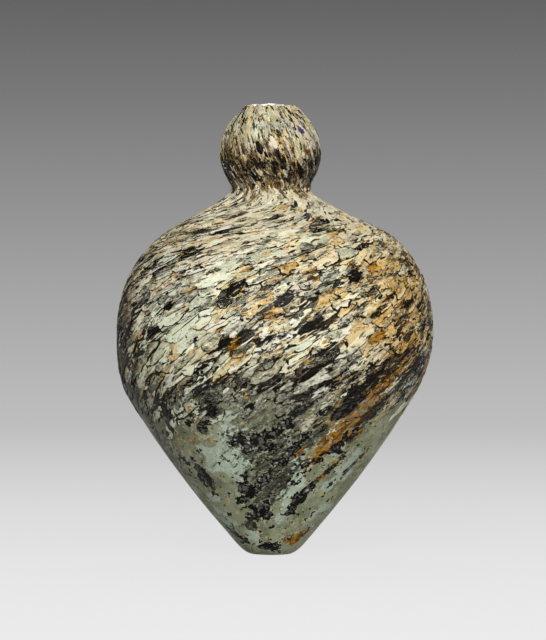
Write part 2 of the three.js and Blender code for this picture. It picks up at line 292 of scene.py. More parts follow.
RUST_SPOTS = [
    (-44, 82.6, 3, 1.4, 30, 0.9), (-31, 81, 3, 1.4, 30, 0.9), (-46, 80, 2.6, 1.2, 30, 0.7),
    (37, 87.5, 4, 1.8, 20, 0.5), (43, 85, 5, 2, 30, 0.5), (61, 90.4, 5, 2.4, 30, 0.5),
    (50, 82, 8, 3.4, 30, 0.45), (25, 92, 7, 1.8, 60, 0.45), (8, 103.5, 2, 1, 0, 0.7),
    (-14, 82.3, 4, 1.4, 30, 0.8), (14, 84.5, 3, 1.2, 40, 0.8), (-4, 74, 4, 3.4, 30, 1.0),
    (-1, 71, 3, 1.6, 20, 0.9), (14.5, 70, 3, 1.3, 0, 1.1), (20, 76, 5, 3, 30, 0.6),
    (-14, 61, 2.6, 2.2, 30, 1.1), (48, 75, 10, 8, 40, 0.5), (60, 78, 14, 9, 45, 0.5),
    (54, 66, 14, 8, 40, 0.48), (70, 84, 12, 6, 50, 0.3), (40, 70, 9, 3, 30, 0.4),
    (38, 63, 4, 1.4, 35, 0.9), (50, 58, 16, 5, 42, 0.6), (46, 50, 17, 3.4, 46, 1.3),
    (38, 40, 12, 3, 50, 1.2), (30, 34, 8, 2, 52, 1.0), (-38, 59, 5, 1.6, 95, 0.6),
    (-36, 43, 4, 0.8, 110, 0.9), (-32, 38, 5, 0.8, 100, 0.9), (-63, 42, 2, 1, 60, 0.8),
    (-42, 34.5, 4, 1.4, 10, 0.6), (36, 26, 8, 1.4, 50, 1.0), (14, 31, 3, 1.6, 40, 0.7),
    (48, 6, 4, 1.6, 50, 1.0), (24, 5, 3, 1.4, 40, 0.8), (26, 41, 2, 1.2, 60, 0.9),
    (-48, 96.5, 8, 2.4, 20, 0.5), *all_round(122, 10, -0.3), (-2, 36, 5, 1.8, 10, 0.4),
    (-20, 52, 3, 1.4, 40, 0.4), (30, 80, 7, 2, 30, 0.5), (-60, 64, 3, 1.4, 60, 0.4),
]
MINT_SPOTS = [
    (22, 83.5, 5, 2.2, 20, 0.9), (35, 89.5, 4, 1.8, 20, 0.9), (21, 94.3, 4, 1.4, 25, 1.0),
    (5, 69, 5, 2.4, 22, 1.1), (31, 71, 8, 1.6, 35, 0.9), (-32, 71, 12, 6, 45, 0.9),
    (-40, 64, 8, 5, 60, 0.7), (-6, 91, 8, 3, 25, 0.4), (-17, 38, 6, 6, 60, 0.9),
    (-22, 27, 6, 3.4, 90, 1.0), (-12, 24, 2, 6, 0, 0.7), (9, 15, 5, 2.6, 78, 1.1),
    (14, 24, 9, 2, 82, 1.0), (-18, 10, 5, 2, 80, 0.8), (28, 29, 8, 2, 58, 0.8), (50, 30, 12, 5, 55, 0.2),
    (46, 14, 8, 5, 60, 0.35), (-56, 12, 10, 4, -60, 0.5), (-12, 126, 3, 1.2, 105, 1.1),
    (-32, 31, 8, 5, 60, 0.5),
]
# Umber is a brown stain in places and painted shade in others: the rows on the edges, between about 60 and
# 80 degrees either side, and those round the bulb below its widest, at 115 to 119, are painted shade.
UMBER_AND_SHADE_SPOTS = [
    *all_round(115, 4.2, 1.2), (-40, 116, 10, 3, 110, 0.6), (40, 116, 10, 3, 95, 0.8),
    (0, 119, 40, 3, 0, 0.2), (78, 50, 14, 4, 76, 0.8), (-77, 62, 20, 8, 80, 1.2),
    (62, 50, 12, 2, 55, 0.6), (50, 92, 16, 2, 0, 0.2), (78, 74, 12, 3, 90, 0.3),
    (-70, 44, 14, 2.4, 62, 0.6), (-76, 30, 12, 2, 65, 0.5), (160, 60, 20, 6, 40, 0.7),
    (-130, 76, 16, 5, 30, 0.6),
]
# Each colour: how much of it there is all round, how much that changes, and its spots.
FIELDS = {
    "black": (0.2, 0.14, BLACK_SPOTS),
    "smoke": (0.03, 0.2, SMOKE_SPOTS),
    "rust": (0.02, 0.1, RUST_SPOTS),
    "mint": (0.1, 0.2, MINT_SPOTS),
    "umber_and_shade": (0.06, 0.12, UMBER_AND_SHADE_SPOTS),
}
# The side away from the photograph has the same mix, in places that only chance sets.
FRONT_HALF = np.radians(84)
FULLEST = 0.8


def fields(turn, arc):
    """How strongly each colour gathers at a place. Behind, wide clouds stand in for the spots."""
    lines = flow(turn, arc)
    height = np.interp(arc, ARC, UP)
    behind = smooth(FRONT_HALF, FRONT_HALF + 0.4, np.abs(from_front(turn)))
    gathered = {}
    for number, (name, (level, change, rows)) in enumerate(FIELDS.items()):
        patches = 1.1 * smooth(0.2, 0.62, cloud(lines, 4.2, 60 + number)) * behind
        claimed = level + change * cloud(lines, 3, 50 + number) + spots(turn, height, rows) + patches
        gathered[name] = FULLEST * np.tanh(claimed / FULLEST)
    return gathered


# The wall's mesh, and its lip: how far below it the skin settles to the plain outline, how deep it is
# chipped, and how far its outer edge is worn down. The inset keeps the skin just under the outline.
COLUMNS = 360
OUTER_ROW = 0.72
INNER_ROWS = 26
LIP_BAND = 2.2
LIP_CHIPPED = 0.35
LIP_WORN = 0.3
INSET = 0.04


def wall_surface():
    """A surface of two parameters, the angle round the flask and the way along its outline: up the outside
    at close steps, sunk where chips cover it, over the uneven ground lip, and down the inside."""
    rim_angle = np.linspace(0, 2 * np.pi, COLUMNS, endpoint=False)[None, :]
    arc = np.linspace(0, TOP_ARC, int(TOP_ARC / OUTER_ROW) + 1)[1:, None]
    turn, arc = np.broadcast_arrays(rim_angle, arc)
    flush = on_wall(turn, arc, 0)
    bare = bareness(flush)
    sunk = -(1 - bare) * BED_DEPTH * (1 + 0.3 * cloud(flow(turn, arc), 1.5, 5))
    swell = 0.05 * cloud(flush, 9, 6) + 0.03 * cloud(flush, 2.6, 7) - 0.08
    lip = smooth(TOP_ARC - LIP_BAND, TOP_ARC, arc)
    outer = on_wall(turn, arc, (sunk + swell) * (1 - lip) - INSET)
    inside_radius = np.maximum(RADIUS - WALL * np.cos(np.radians(LEAN)), 0.4)
    inside_height = HEIGHT + WALL * np.sin(np.radians(LEAN))
    inside_radius[0] = 0
    inside_radius[-1], inside_height[-1] = MOUTH_RADIUS, TOP
    inner_line = drawn(inside_radius, inside_height, 40)[::-1]
    pick = np.linspace(0, len(inner_line) - 1, INNER_ROWS + 1).astype(int)[:-1]
    radius, height = inner_line[pick].T[:, :, None]
    inner = around(radius, rim_angle, height)
    ring = np.stack([6 * np.cos(rim_angle), 6 * np.sin(rim_angle), 0 * rim_angle], axis=-1)
    chipped = LIP_CHIPPED + LIP_CHIPPED * cloud(ring, 3.1, 8)
    outer[-1, :, 2] -= LIP_WORN + chipped[0]
    inner[0, :, 2] -= chipped[0]
    crown = (outer[-1] * 0.55 + inner[0] * 0.45)[None]
    crown[..., 2] = TOP - chipped - 0.02
    return np.concatenate([outer, crown, inner]), turn, arc, bare


def paint(name):
    """A new material and its empty node tree."""
    material = bpy.data.materials.new(name)
    material.use_nodes = True
    material.node_tree.nodes.clear()
    return material, material.node_tree


class NodeValue:
    """What a node puts out: a number, colour or vector that changes over the surface. A sum on it is a
    node of its own, which works on the one number or on all three of a colour or vector."""

    def __init__(self, socket):
        self.socket = socket
        self.tree = socket.id_data

    def reckoned(self, operation, a, b):
        """What the node for a sum puts out."""
        one = self.socket.type == "VALUE"
        made = add(self.tree, "ShaderNodeMath" if one else "ShaderNodeVectorMath", {0: a, 1: b},
                   operation=operation)
        return made["Value" if one else "Vector"]

    def __add__(self, other):
        return self.reckoned("ADD", self, other)

    def __sub__(self, other):
        return self.reckoned("SUBTRACT", self, other)

    def __rsub__(self, other):
        return self.reckoned("SUBTRACT", other, self)

    def __mul__(self, other):
        return self.reckoned("MULTIPLY", self, other)

    def __pow__(self, other):
        return self.reckoned("POWER", self, other)

    def __abs__(self):
        return self.reckoned("ABSOLUTE", self, 0)

    def at_least(self, other):
        return self.reckoned("MAXIMUM", self, other)

    def at_most(self, other):
        return self.reckoned("MINIMUM", self, other)


def add(tree, kind, inputs=(), **settings):
    """A node of that kind in the tree, with its settings and inputs. It gives what the node puts out, by
    name, and by place too, because some names are alike."""
    node = tree.nodes.new(kind)
    for key, value in settings.items():
        setattr(node, key, value)
    for key, value in dict(inputs).items():
        if isinstance(value, NodeValue):
            tree.links.new(value.socket, node.inputs[key])
        else:
            node.inputs[key].default_value = value
    return {key: NodeValue(socket)
            for place, socket in enumerate(node.outputs) for key in (place, socket.name)}


def noise(vector, scale, detail=3, rough=0.55, twist=0, kind="Fac"):
    """Fractal noise on a vector: a number, mostly between 0.3 and 0.7, or three of them in a Color."""
    return add(vector.tree, "ShaderNodeTexNoise", {"Vector": vector, "Scale": scale, "Detail": detail,
                                                   "Roughness": rough, "Distortion": twist})[kind]


def step(value, low, high, to_low=0, to_high=1):
    """A value eased from one range to another."""
    return add(value.tree, "ShaderNodeMapRange", {"Value": value, "From Min": low, "From Max": high,
                                                  "To Min": to_low, "To Max": to_high},
               interpolation_type="SMOOTHSTEP")["Result"]


def colour(red, green, blue):
    """A colour as the eye sees it, 0 to 255, as the light it stands for."""
    share = np.array([red, green, blue]) / 255
    return (*np.where(share < 0.04045, share / 12.92, ((share + 0.055) / 1.055) ** 2.4), 1)


def mixed(share, a, b, blend="MIX"):
    """Two colours mixed. A plain one is written as the eye sees it. The Mix node's sockets go by place,
    and those for colours are 6 and 7, and 2 for what it puts out."""
    tree = next(value.tree for value in (share, a, b) if isinstance(value, NodeValue))
    a, b = (colour(*value) if isinstance(value, tuple) else value for value in (a, b))
    return add(tree, "ShaderNodeMix", {0: share, 6: a, 7: b}, data_type="RGBA", blend_type=blend)[2]


def split(colours):
    """The red, green and blue of a colour."""
    return add(colours.tree, "ShaderNodeSeparateColor", {"Color": colours})


def group(name, inputs, outputs):
    """An empty node group with named inputs and outputs, each with its kind."""
    tree = bpy.data.node_groups.new(name, "ShaderNodeTree")
    for side, sockets in (("INPUT", inputs), ("OUTPUT", outputs)):
        for key, kind in sockets.items():
            tree.interface.new_socket(key, in_out=side, socket_type="NodeSocket" + kind)
    return tree


CARRIED = ["Draw", "Bare", "Black", "Smoke", "Rust", "Mint", "Umber_and_shade"]
HALF = (0.5, 0.5, 0.5)


def weathered_skin():
    """The group that every finish shares: glass stretched along the flow, broken into slivers, pitted and
    cracked. Each field of colour claims what noise leaves it, with ragged edges that jump a little from
    chip to chip. On the bare cone the noise is even in all directions. The height is for the bump. Some
    of its colour is painted light: glints, a pale halo round the black islands, and the shade in the
    umber field."""
    tree = group("weathered_skin",
                 {"Tone": "Color", "Flow": "Vector", **dict.fromkeys([*CARRIED, "Contrast"], "Float")},
                 {"Color": "Color", "Roughness": "Float", "Height": "Float"})
    given = add(tree, "NodeGroupInput")
    bare = given["Bare"]
    place = add(tree, "ShaderNodeTexCoord")["Object"]

    def grain(scale, cone_scale, detail, rough, squeeze):
        """Three noises, along the flow where chips lie and even in all directions on the cone."""
        along = noise(bent * (1, 1, squeeze), scale, detail, rough, kind="Color")
        even = noise(place, cone_scale, detail - 1, rough - 0.08, kind="Color")
        return split(mixed(bare, along, even))

    # The flow, bent a little, and the noises on it. What is a chip's own jumps with its draw.
    shift = noise(place, 700, 3, 0.6, kind="Color") - HALF
    bend = noise(place, 170, 2, 0.6, kind="Color") - HALF
    bent = given["Flow"] + shift * (2.2, 2.2, 1) + bend * (5, 5, 2)
    own = bent + add(tree, "ShaderNodeCombineXYZ", {2: given["Draw"] * 40})["Vector"]
    lace = grain(0.62, 360, 4, 0.64, 1.5)
    drawn_out = split(noise(bent * (1, 1, 1.6), 0.7, 4, 0.62, kind="Color"))
    veil = grain(0.3, 130, 3, 0.55, 1)
    sliver = split(add(tree, "ShaderNodeTexVoronoi", {"Vector": own * (1, 1, 2.4), "Scale": 0.75})["Color"])
    streak = noise(own, 1.0, 4, 0.6)
    fine = noise(own, 2.4, 2, 0.6)
    dust = noise(place, 900, 3, 0.6)
    luck = split(add(tree, "ShaderNodeTexWhiteNoise", {"W": given["Draw"]}, noise_dimensions="1D")["Color"])

    # How light the glass is, from streak to streak.
    swing = (streak - 0.5) * 0.7
    for value, amount in ((fine, 0.5), (dust, 0.8), (sliver["Red"], 0.14), (given["Draw"], 0.2)):
        swing = swing + (value - 0.5) * amount
    level = swing * (given["Contrast"] * (1 - bare * 0.4)) + 1.05
    level = level.at_least(0.15).at_most(0.93)
    light = add(tree, "ShaderNodeCombineColor", {0: level, 1: level, 2: level})["Color"]

    def gathered(name, noise_of, luck_of_chip, torn):
        """How far a field of colour is over its edge, which noise tears. A chip takes it or leaves it by
        its luck, and the bare wall only by the noise."""
        wild = (given[name] * 2.6 + 1.4) * (bare * (1 - torn) + torn)
        chance = (luck_of_chip - 0.5) * (1 - bare)
        return given[name] + ((noise_of - 0.5) * wild + chance)

    def claim(name, noise_of, luck_of_chip, torn, softness, least=0.5):
        """Where a field of colour shows."""
        return step(gathered(name, noise_of, luck_of_chip, torn), least - softness, least + softness)

    def two(share, a, b):
        """One colour or another by a noise."""
        return mixed(step(share, 0.45, 0.55), a, b)

    # The colours, each over the one before, first as they are on chips and then as on the bare cone.
    tone = mixed(step(sliver["Green"], 0.92, 0.94) * 0.5, given["Tone"], (190, 164, 104))
    mint = two(lace["Blue"], (172, 178, 152), (184, 188, 166))
    mint = mixed(bare, mint, two(lace["Blue"], (148, 160, 141), (163, 174, 156)))
    tone = mixed(claim("Mint", veil["Green"], luck["Green"], 0.4, 0.1), tone, mint)
    grey = step(streak, 0.4, 0.6)
    smoke = mixed(grey, (78, 76, 64), (146, 144, 128))
    smoke = mixed(bare, smoke, mixed(grey, (36, 34, 27), (82, 81, 68)))
    tone = mixed(claim("Smoke", drawn_out["Red"], luck["Blue"], 0.5, 0.14, 0.42), tone, smoke)
    rust = mixed(sliver["Blue"], two(lace["Green"], (124, 86, 32), (176, 145, 88)), (174, 149, 94))
    deep_rust = two(drawn_out["Blue"], (82, 56, 14), (146, 102, 30))
    rust = mixed(step(given["Rust"], 0.62, 0.76), rust, deep_rust)
    rust = mixed(bare, rust, two(drawn_out["Blue"], (78, 52, 12), (140, 96, 24)))
    rust_at = claim("Rust", drawn_out["Green"], luck["Red"], 1.2, 0.1)
    tone = mixed(rust_at, tone, rust)
    # Umber: a brown stain, and painted shade on the edges and under the bulb.
    stain_and_shade = mixed(1.0, tone, two(streak, (66, 48, 25), (138, 108, 68)), "MULTIPLY")
    tone = mixed(claim("Umber_and_shade", lace["Blue"], luck["Green"], 1, 0.4), tone, stain_and_shade)

    # Black islands: a painted pale halo round them like a highlight, a speckled edge with dark veins, and a
    # deep middle.
    over = gathered("Black", lace["Red"], luck["Blue"], 0.9)
    black = step(over, 0.485, 0.515)
    charcoal = mixed(bare, (22, 18, 12), (84, 82, 76))
    speckle = mixed(bare, (146, 142, 118), (176, 180, 160))
    charcoal = mixed(step(lace["Green"], 0.62, 0.65, 0, 0.85), charcoal, speckle)
    vein = step(abs(lace["Green"] - 0.5), 0.05, 0.03)
    charcoal = mixed(vein.at_least(step(over, 0.8, 0.66)), charcoal, (7, 6, 4))
    # A painted highlight: a pale halo round the edge of each black island.
    painted_halo = step(over, 0.3, 0.44, 0, 0.3) * step(lace["Blue"], 0.46, 0.56) * (1 - rust_at)
    tone = mixed(painted_halo, tone, (206, 206, 182))
    tone = mixed(black, tone, charcoal)
    crumb = noise(place, 640, 2, 0.5) + given["Black"] * 0.16
    tone = mixed(step(crumb, 0.685, 0.705) * bare, tone, (12, 11, 8))
    tone = mixed(1.0, tone, light, "MULTIPLY")
    # Painted glints: pale specks standing for highlights, kept off the black.
    painted_glint = step(dust, 0.62, 0.68, 0, 0.25) * (1 - black)
    tone = mixed(painted_glint, tone, (236, 228, 206))

    # Cracks along the flow, hairs across the chips, and pits, all dark and deep.
    weave = noise(bent * (1, 1, 1.2), 0.7, 4, 0.55)
    hair = noise(own * (1, 1, 1.5), 2.2, 4, 0.6)
    gap = step(lace["Blue"], 0.5, 0.64, 0, 0.04) * (1 - bare * 0.7)
    crack = step(gap - abs(weave - 0.5), 0, 0.01)
    hair_gap = step(veil["Blue"], 0.52, 0.64, 0, 0.02)
    crack = crack.at_least(step(hair_gap - abs(hair - 0.5), 0, 0.02, 0, 0.7))
    dark = crack.at_least(step(dust, 0.34, 0.3, 0, 0.8))
    add(tree, "NodeGroupOutput", {
        "Color": mixed(dark, tone, (20, 15, 9)),
        "Roughness": (streak - 0.5) * 0.4 + black * -0.12,
        "Height": streak * 0.7 + dust * 0.4 + sliver["Red"] * 0.3 - dark * 0.6})
    return tree


SKIN = weathered_skin()


def attribute(tree, name, kind="Fac"):
    """A value that the mesh carries."""
    return add(tree, "ShaderNodeAttribute", attribute_name=name, attribute_type="GEOMETRY")[kind]


def skin_of(tree, tone, contrast):
    """The shared skin in a material, fed with what the mesh carries."""
    carried = {name: attribute(tree, name.lower()) for name in CARRIED}
    return add(tree, "ShaderNodeGroup", {"Tone": tone, "Flow": attribute(tree, "flow", "Vector"),
                                         "Contrast": contrast, **carried}, node_tree=SKIN)


GLASS_IOR = 1.5
SPECULAR = 0.04


def finish_with(tree, tone, roughness, height, relief):
    """A Principled shader with that colour and roughness, and a bump of that relief in metres."""
    bump = add(tree, "ShaderNodeBump", {"Height": height, "Strength": 1, "Distance": relief})
    shader = add(tree, "ShaderNodeBsdfPrincipled", {
        "Base Color": tone, "Roughness": roughness, "Normal": bump["Normal"], "IOR": GLASS_IOR,
        "Specular IOR Level": SPECULAR})
    add(tree, "ShaderNodeOutputMaterial", {"Surface": shader["BSDF"]})


def wall_glass():
    """The wall's glass: cloudy grey-green in the cone, brown-black under the chips, and whitish at the
    ground lip, which is ground glass with a painted highlight on its top."""
    material, tree = paint("wall_glass")
    place = add(tree, "ShaderNodeTexCoord")["Object"]
    cloudy = noise(place, 110, 5, 0.62, 0.4)
    cone = mixed(step(cloudy, 0.4, 0.6), (112, 116, 88), (136, 141, 114))
    bed = mixed(noise(attribute(tree, "flow", "Vector"), 2.2), (22, 17, 11), (58, 44, 28))
    skin = skin_of(tree, mixed(attribute(tree, "bare"), bed, cone), 1.5)
    # The lip: ground glass, painted near white as a highlight too.
    ground_and_highlight = step(attribute(tree, "lip") + noise(place, 900, 4), 0.9, 1.0)
    tone = mixed(ground_and_highlight, skin["Color"], (246, 243, 232))
    finish_with(tree, tone, skin["Roughness"] + 0.44, skin["Height"], 0.00012)
    return material


surface, wall_turn, wall_arc, wall_bare = wall_surface()
wall_rows = len(surface)
poles = np.array([[0, 0, 0.0], [0, 0, WALL[0]]])
wall_points = np.concatenate([surface.reshape(-1, 3), poles])
first_pole = wall_rows * COLUMNS
wall_quads = ring_quads(wall_rows, COLUMNS)
wall_caps = np.concatenate([fan(first_pole, np.arange(COLUMNS), False),
                            fan(first_pole + 1, np.arange(COLUMNS) + (wall_rows - 1) * COLUMNS, True)])


def for_wall(values):
    """A value for each point of the wall, from those of the outside, and 0 for the rest."""
    flat = values.reshape(-1, *values.shape[2:])
    return np.concatenate([flat, np.zeros((len(wall_points) - len(flat), *flat.shape[1:]))])


wall_values = {
    "flow": for_wall(flow(wall_turn, wall_arc)),
    "bare": for_wall(wall_bare),
    "draw": np.full(len(wall_points), 0.5),
    "lip": for_wall(smooth(TOP_ARC - 1.1, TOP_ARC - 0.3, wall_arc)),
    **{name: for_wall(claimed * wall_bare) for name, claimed in fields(wall_turn, wall_arc).items()},
}
# The crown of the lip and the first ring inside it are ground too, and whitish with the painted highlight.
wall_values["lip"][len(wall_arc) * COLUMNS:(len(wall_arc) + 2) * COLUMNS] = 1
wall = piece("blown_wall_skin", wall_points, wall_quads, wall_caps, wall_glass(), wall_values)
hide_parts("blown_wall")

# The chips. Long flakes of coloured glass, picked up on the hot gather, rolled in and stretched by the
# twist, so that they climb round the body like shingles: the lower edge of each stands a little proud
# and its upper edge lies under the next, with the dark gather showing in the crevices and painted shade
# along them.
LANES = 66
CHIP_CORNERS = 16
CHIP_BED = 0.62
LOWEST_CHIP = 26
LONGEST_CHIP = 15
# For each station, how far apart the chips of a lane lie, and how wide a chip is for its lane.
CHIP_STEP = np.array([6, 6.5, 6.5, 5.6, 5, 3.8, 2.6, 3.6, 4])
CHIP_WIDTH = np.array([1.3, 1.3, 1.3, 1.4, 1.5, 1.3, 1.05, 0.9, 0.9])
rng = np.random.default_rng(20)

lane_step = eased(CHIP_STEP, UP)
laid_up = running(np.diff(LENGTH) / lane_step[1:])
rows_up = np.arange(int(np.interp(LOWEST_CHIP, UP, laid_up)), int(laid_up[-1]) + 1)
lane, row = np.meshgrid(np.arange(LANES), rows_up, indexing="ij")
lane, row = lane.ravel(), row.ravel()
count = len(lane)
chip_place = row + rng.random(LANES)[lane] + rng.uniform(-0.4, 0.4, count)
chip_arc = np.interp(chip_place, laid_up, ARC)
chip_turn = 2 * np.pi * (lane + rng.uniform(-0.4, 0.4, count)) / LANES + np.interp(chip_arc, ARC, TURN)
chip_slope = np.interp(chip_arc, ARC, SLOPE)
lane_width = 2 * np.pi * np.interp(chip_arc, ARC, OUT) * np.sin(chip_slope) / LANES
chip_height = np.interp(chip_arc, ARC, UP)
chips = {
    "turn": chip_turn,
    "arc": chip_arc,
    "climb": chip_slope + np.radians(rng.normal(0, 6, count)),
    "length": np.interp(chip_arc, ARC, lane_step) * rng.lognormal(np.log(1.6), 0.3, count),
    "width": lane_width * eased(CHIP_WIDTH, chip_height) * rng.lognormal(0, 0.4, count),
    "draw": rng.random(count),
}
# A chip by the waist is short, to bend with it.
from_waist = np.abs(chip_arc - np.interp(WAIST, UP, ARC))
chips["length"] = np.minimum(chips["length"], np.minimum(2.4 + 0.9 * from_waist, LONGEST_CHIP))

# No point of a chip rises above this, which is just under the outline.
HIGHEST = -0.01
LAID_BY = ("turn", "arc", "climb", "length", "width", "lift", "tilt", "bevel", "shade_gape")


def laid(chip, corners, rings, seed):
    """Closed flakes that follow the wall, one for each value given. The outline of a flake runs from a
    lozenge to a box in its own length and width, sheared and tapered, with a ragged edge. Each ring is
    a share of the outline, how far it is into the crevice round the flake, and how far it drops. Its
    height is the lift, less the tilt across and along the flake, and a ring at 1 lies on the bed. Its
    crevice share, times the gape and more on the low side, is the rim that sets the painted shade."""
    local = np.random.default_rng(seed)
    turn, arc, climb, length, width, lift, tilt, bevel, shade_gape = (chip[key][:, None] for key in LAID_BY)
    n = len(turn)
    angle = 2 * np.pi * np.arange(corners) / corners
    x, y = np.cos(angle)[None], np.sin(angle)[None]
    taper = local.uniform(-0.1, 0.5, (n, 1))
    lean = local.uniform(-0.3, 0.8, (n, 1))
    blunt = local.uniform(-0.6, 0.3, (n, 1))
    y = np.sign(y) * np.abs(y) ** (1 + blunt) * (1 - taper * x)
    waves = sum(local.normal(0, 0.07, (n, 1)) * np.cos(k * angle + local.uniform(0, 2 * np.pi, (n, 1)))
                for k in (2, 3, 5))
    edge = 1 + waves + local.uniform(-0.16, 0.16, (n, corners))
    x, y = x * edge + 0.5 * lean * y, y * edge
    low_side = 0.5 - 0.5 * np.clip(y + 0.35 * x, -1, 1)
    shapes, rims = [], []
    for share, rim, drop in rings:
        along = x * share * length / 2
        across = y * share * width / 2
        if rim >= 1:
            size = np.hypot(along, across) + 1e-6
            grown = 1 + bevel * (0.35 + low_side) / size
            along, across = along * grown, across * grown
            up = np.broadcast_to(-CHIP_BED, along.shape)
        else:
            up = np.minimum(lift - tilt * (y * share + 0.35 * x * share) - drop, HIGHEST)
        shapes.append((along, across, up))
        rims.append(rim * shade_gape * (0.1 + 0.9 * low_side))
    middle = np.zeros((n, 1))
    shapes.append((middle, middle, np.minimum(lift, HIGHEST)))
    along, across, up = (np.concatenate(parts, axis=1) for parts in zip(*shapes))
    rim = np.concatenate([*rims, middle], axis=1)
    c, s = np.cos(climb), np.sin(climb)
    at_arc = np.clip(arc + along * s + across * c, 0.5, TOP_ARC - 0.4)
    at_turn = turn + (along * c - across * s) / np.interp(at_arc, ARC, OUT)
    points = on_wall(at_turn, at_arc, up)
    size = len(rings) * corners
    base = np.arange(n)[:, None, None] * (size + 1)
    quads = (ring_quads(len(rings), corners)[None] + base).reshape(-1, 4)
    top = fan(size, np.arange(corners) + (len(rings) - 1) * corners, True)
    under = np.arange(1, corners - 1)
    bottom = np.stack([0 * under, under + 1, under], axis=-1)
    triangles = (np.concatenate([top, bottom])[None] + base).reshape(-1, 3)
    return points, quads, triangles, rim, at_turn, at_arc


# The glass of the chips, three shades of each tone as they would look under plain light.
TONES = {
    "cream": [(190, 182, 155), (196, 189, 166), (184, 176, 149)],
    "beige": [(188, 168, 125), (174, 150, 104), (194, 180, 144)],
    "celadon": [(190, 193, 168), (179, 183, 157), (197, 200, 179)],
    "lilac": [(186, 182, 172), (174, 170, 162), (196, 193, 184)],
    "olive": [(174, 166, 128), (160, 152, 112), (188, 180, 144)],
    "smoke": [(150, 150, 136), (130, 129, 114), (110, 108, 94)],
    "amber": [(174, 140, 78), (146, 108, 44), (188, 162, 104)],
    "dark": [(30, 27, 21), (20, 18, 14), (46, 41, 31)],
    "amethyst": [(70, 56, 90), (60, 46, 78), (84, 74, 104)],
}
TONE_NAMES = list(TONES)
SHADES = np.array([[colour(*shade)[:3] for shade in shades] for shades in TONES.values()])
# How much of each tone there is all round, and the spots where it gathers. The first four are pale.
TONE_PLACES = {
    "cream": (0.5, [
        (44, 78, 24, 16, 30, -0.3), *all_round(42, 12, -0.5), *all_round(101, 8, 1.6),
        (-2, 82, 26, 10, 30, 1.0), (20, 68, 14, 10, 30, 0.6), (-30, 90, 16, 6, 20, 0.8)]),
    "beige": (0.3, [
        *all_round(94, 6, 1.0), *all_round(124, 12, 0.9, 40), (52, 74, 26, 20, 40, 3.2),
        (30, 92, 22, 6, 0, 0.7)]),
    "celadon": (0.5, [
        (-48, 72, 30, 20, 30, 3.2), (-50, 52, 22, 12, 40, 2.2), (10, 56, 26, 6, 35, 0.8),
        *all_round(40, 12, 2.0), (150, 70, 40, 18, 30, 2.0), (-140, 60, 30, 14, 30, 1.6)]),
    "lilac": (0.3, [
        *all_round(124, 10, 0.4), (-48, 78, 24, 14, 30, 1.6), (4, 78, 16, 5, 40, 1.4),
        (-6, 66, 12, 8, 50, 1.2), (-60, 80, 20, 5, 30, 0.8), (30, 62, 20, 6, 35, 1.0),
        (160, 80, 30, 8, 30, 1.2)]),
    "olive": (0.2, [*all_round(127, 9, 0.8), (-34, 58, 12, 6, 40, 2.0)]),
    "smoke": (0.05, []),
    "amber": (0.03, [(55, 70, 24, 20, 40, 0.7)]),
    "dark": (0.055, []),
}
PALE_TONES = 4


def shade_of(tones, draw):
    """One of the three shades of each tone, mixed with the next by a random share."""
    pick = draw.integers(0, 3, len(tones))
    share = draw.random((len(tones), 1))
    return SHADES[tones, pick] * share + SHADES[tones, (pick + 1) % 3] * (1 - share)


def tones_for(turn, arc, draw):
    """A tone for each chip, drawn by how strongly each claims its place, and its shade, which for a pale
    one leans towards that of the pale chips round it, and is darker on the bulb as painted shade against
    the strong light on its top."""
    height = np.interp(arc, ARC, UP)
    lines = flow(turn, arc)
    shares = []
    for number, (floor, rows) in enumerate(TONE_PLACES.values()):
        drift = 1 + 0.8 * cloud(lines, 3.6, 30 + number) + 0.5 * cloud(lines, 1.3, 70 + number)
        claimed = np.clip(floor + spots(turn, height, rows), 0.01, None)
        shares.append(claimed * np.clip(drift, 0.05, None) ** 1.5)
    climbing = np.cumsum(shares, axis=0)
    tone = (draw.random(len(turn)) * climbing[-1] > climbing).sum(axis=0)
    shade = shade_of(tone, draw)
    pale = np.array(shares[:PALE_TONES])[:, :, None] ** 2
    near = sum(pale[i] * shade_of(np.full(len(turn), i), draw) for i in range(PALE_TONES))
    near = near / pale.sum(axis=0)
    shade = np.where((tone < PALE_TONES)[:, None], 0.6 * near + 0.4 * shade, shade)
    # Painted shade: the bulb's chips darker and the body's a little lighter, for how the light falls.
    bulb_painted_shade = 1.05 - 0.19 * smooth(108, 113, height)[:, None]
    return tone, shade * bulb_painted_shade * draw.uniform(0.88, 1.0, (len(turn), 1))


def place_of(solid):
    """Where the solid of a large chip lies on the wall: its angle, its arc, its climb, and its length and
    width, which are how far its corners reach along the two ways in which they spread most."""
    corners = np.empty(len(solid.data.vertices) * 3, np.float32)
    solid.data.vertices.foreach_get("co", corners)
    corners = corners.reshape(-1, 3).astype(float) / MM
    centre = (corners.max(axis=0) + corners.min(axis=0)) / 2
    swayed = centre[0] - float(eased(SWAY, centre[2:])[0])
    turn = np.arctan2(swayed, -centre[1])
    out = np.hypot(swayed, centre[1])
    nearest = np.argmin((OUT - out) ** 2 + (UP - centre[2]) ** 2)
    lean_r, lean_z = ALONG[nearest]
    round_axis = np.array([np.cos(turn), np.sin(turn), 0])
    up_axis = np.array([lean_r * np.sin(turn), -lean_r * np.cos(turn), lean_z])
    flat = (corners - centre) @ np.stack([round_axis, up_axis], axis=1)
    flat = flat - flat.mean(axis=0)
    axes = np.linalg.svd(flat, full_matrices=False)[2]
    long_axis = axes[0] if axes[0][1] > 0 else -axes[0]
    spread = 2 * np.abs(flat @ axes.T).max(axis=0)
    return turn, ARC[nearest], np.arctan2(long_axis[1], long_axis[0]), *spread


# The largest chips are nodes of their own, and the others leave room for them.
node_places = {name: place_of(solid) for name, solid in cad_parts.items() if name != "blown_wall"}


